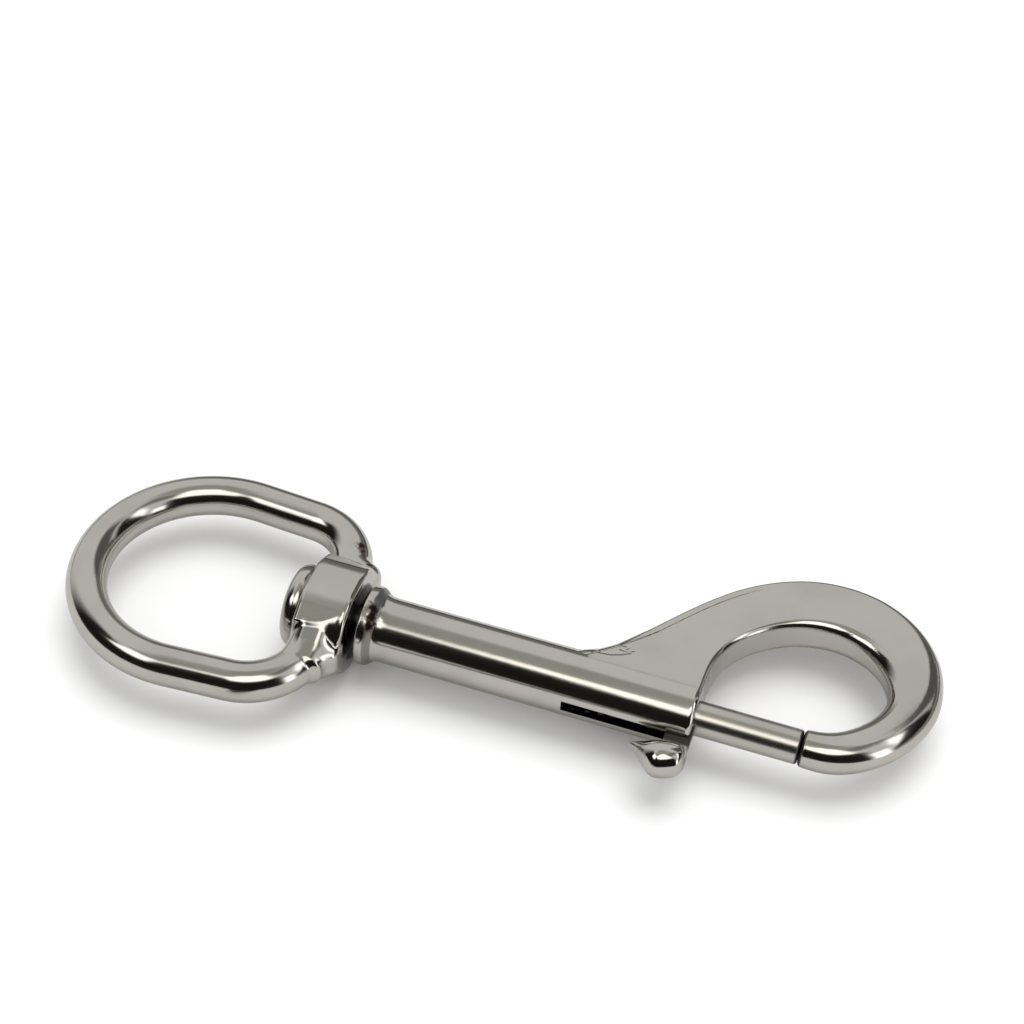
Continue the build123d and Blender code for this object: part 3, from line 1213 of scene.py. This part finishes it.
@dataclass
class Studio:
    """Floor, light and camera."""

    eye: Triple = (0.091869, -0.191239, 0.219252)
    right: Triple = (0.94906556, 0.30900148, 0.06158452)
    up: Triple = (-0.25771263, 0.64884769, 0.71594754)
    back: Triple = (0.18126988, -0.69535226, 0.69543257)
    lens: float = 77.34
    sensor: float = 36.0
    reach: Pair = (0.01, 20.0)
    floor_half: float = 3000.0
    floor_z: float = -6.52
    shade_near: Pair = (0.024, 0.060)
    shade_left: Pair = (0.006, 0.016)
    shade_far: Pair = (0.05, 0.09)
    shade_turn: Pair = (0.015, 1.5)
    sun: float = 1.3
    sun_spread: float = 46.0
    sun_from: Triple = (0.03, 0.32, 1.0)
    fill: float = 0.84
    edge_pole: Triple = (-0.392, -0.824, 0.408)
    dusk: Patch = Patch((8, 20, 3), (124, 150, 4), 0.8)
    alcove: Patch = Patch((15, 54, 5), (131, 167, 5), 0.85)
    low_wall: Patch = Patch((-6, 14, 5), (66, 140, 8), 0.7)
    high_wall: Patch = Patch((56, 72, 5), (66, 124, 8), 0.8)
    side_lamp: Patch = Patch((38, 58, 4), (-64, -29, 5))
    pane: Patch = Patch((-3, 27, 4), (66, 79, 3))

    def camera(self) -> Object:
        """Makes the camera.

        Returns:
            The camera, in use by the scene.
        """
        data = bpy.data.cameras.new("camera")
        data.sensor_width = self.sensor
        data.lens = self.lens
        data.clip_start, data.clip_end = self.reach
        camera = bpy.data.objects.new("camera", data)
        turn = Matrix((self.right, self.up, self.back)).transposed().to_4x4()
        camera.matrix_world = Matrix.Translation(Vector(self.eye)) @ turn
        bpy.context.scene.collection.objects.link(camera)
        bpy.context.scene.camera = camera
        return camera

    def floor(self) -> Object:
        """Makes the pale floor; what polished metal mirrors of it is painted reflection: darker paper, near
        black as painted shade ahead of and beyond the piece.

        Returns:
            The floor.
        """
        half = self.floor_half
        corners = [(-half, -half), (half, -half), (half, half), (-half, half)]
        floor = solid("floor", np.array([(x, y, self.floor_z) for x, y in corners]), [(0, 1, 2, 3)])
        made = bpy.data.materials.new("floor_paper")
        made.use_nodes = True
        g = Graph(made.node_tree)
        # Painted reflection: glossy rays see the paper darker than the camera does, and near black (painted
        # shade) ahead of and beyond the piece.
        glossy = g.add("ShaderNodeLightPath", output="Is Glossy Ray")
        x, y, _ = g.split(g.add("ShaderNodeNewGeometry", output="Position"))
        start, turn = self.shade_turn
        ahead = -1.0 * y - turn * (x - start).most(0.0)
        reflected_shade = (ahead.rise(*self.shade_near) * x.rise(*self.shade_left)).most(y.rise(*self.shade_far))
        painted_reflection_tone = g.blend(reflected_shade, rgb(0.64, 0.64, 0.63), rgb(0.05, 0.05, 0.045))
        colour = g.blend(glossy, rgb(0.93, 0.93, 0.93), painted_reflection_tone)
        paper = g.add("ShaderNodeBsdfDiffuse", {}, {"Color": colour}, "BSDF")
        g.add("ShaderNodeOutputMaterial", {}, {"Surface": paper})
        floor.data.materials.append(made)
        return floor

    def lamp(self) -> Object:
        """Makes the broad overhead light that casts the soft shadow.

        Returns:
            The lamp.
        """
        data = bpy.data.lights.new("overhead", "SUN")
        data.energy = self.sun
        data.angle = math.radians(self.sun_spread)
        lamp = bpy.data.objects.new("overhead", data)
        lamp.rotation_euler = Vector(self.sun_from).to_track_quat("Z", "Y").to_euler()
        lamp.visible_glossy = False
        bpy.context.scene.collection.objects.link(lamp)
        return lamp

    def room(self) -> bpy.types.World:
        """Makes the pale room: light walls, a dark side behind the viewer and strip lamps.

        Heights and bearings are in degrees, bearing 0 to the near side and 90 to the hook.

        Returns:
            The world.
        """
        world = bpy.data.worlds.new("room")
        bpy.context.scene.world = world
        world.use_nodes = True
        g = Graph(world.node_tree)
        aim = g.add("ShaderNodeTexCoord", output="Generated")
        x, y, z = g.split(aim)
        height = g.add("ShaderNodeMath", {"operation": "ARCSINE"}, {0: z}) * DEGREES
        bearing = g.add("ShaderNodeMath", {"operation": "ARCTAN2"}, {0: x, 1: y * -1.0}) * DEGREES
        inputs = {0: aim, 1: self.edge_pole}
        lean = g.add("ShaderNodeVectorMath", {"operation": "DOT_PRODUCT"}, inputs, "Value")
        edge = g.add("ShaderNodeMath", {"operation": "ARCSINE"}, {0: lean}) * DEGREES
        away = g.add("ShaderNodeMath", {"operation": "ABSOLUTE"}, {0: bearing})

        tall = bearing.rise(-14, -6)
        low, high = height + 5.0 * tall, height - 12.0 * tall
        dark = height.rise(-8, 1) * (1 - low.rise(48, 56))
        dark = dark * bearing.rise(-114, -84) * (1 - bearing.rise(59, 73))
        dark = dark.most((1 - edge.rise(-13, -10)) * height.rise(2, 12) * bearing.between(58, 124, 4))
        dark = dark.most(self.dusk.share(height, bearing)).most(self.alcove.share(height, bearing))
        ceiling = height.rise(66, 78).most(height.rise(55, 63) * bearing.between(-78, 78, 10))
        horizon = height.between(-5, 19, 5) * away.rise(138, 158) * 0.8
        strip = low.rise(50, 57) * (1 - high.rise(63, 69)) * bearing.between(-22, 60, 8)
        window = edge.between(-12, -1, 2) * bearing.between(87, 108, 4)
        window = window.most(self.pane.share(height, bearing))
        layers = (
            (ceiling, rgb(0.40, 0.40, 0.37)),
            (horizon, rgb(0.06, 0.06, 0.055)),
            (self.low_wall.share(height, bearing), rgb(0.17, 0.17, 0.15)),
            (self.high_wall.share(height, bearing), rgb(0.13, 0.13, 0.11)),
            (dark, rgb(0.012, 0.011, 0.009)),
            (strip, rgb(2.1, 2.05, 1.92)),
            (self.side_lamp.share(height, bearing), rgb(2.2, 2.2, 2.15)),
            (window, rgb(2.2, 2.12, 2.16)),
            (g.add("ShaderNodeLightPath", output="Is Camera Ray"), rgb(1.0, 1.0, 1.0)),
            (g.add("ShaderNodeLightPath", output="Is Diffuse Ray"), rgb(self.fill, self.fill, self.fill)),
        )
        tone = rgb(0.745, 0.745, 0.735)
        for seen, colour in layers:
            tone = g.blend(seen, tone, colour)
        light = g.add("ShaderNodeBackground", {}, {"Color": tone, "Strength": 1.0})
        g.add("ShaderNodeOutputWorld", {}, {"Surface": light})
        return world

    def build(self) -> None:
        """Builds the whole studio."""
        self.camera()
        self.floor()
        self.lamp()
        self.room()
        bpy.context.scene.view_settings.view_transform = "Standard"
        log.info("studio ready")


def main() -> None:
    """Builds the studio and each sub-assembly in order."""
    logging.basicConfig(level=logging.INFO, format="%(message)s")
    Studio().build()
    for part in (HookBody(), SwivelEye(), SwivelRivet(), LockBolt(), ThumbKnob(), BoltSpring()):
        made = part.build()
        log.info("%s built as %s", type(part).__name__, made.name)


if __name__ == "__main__":
    main()
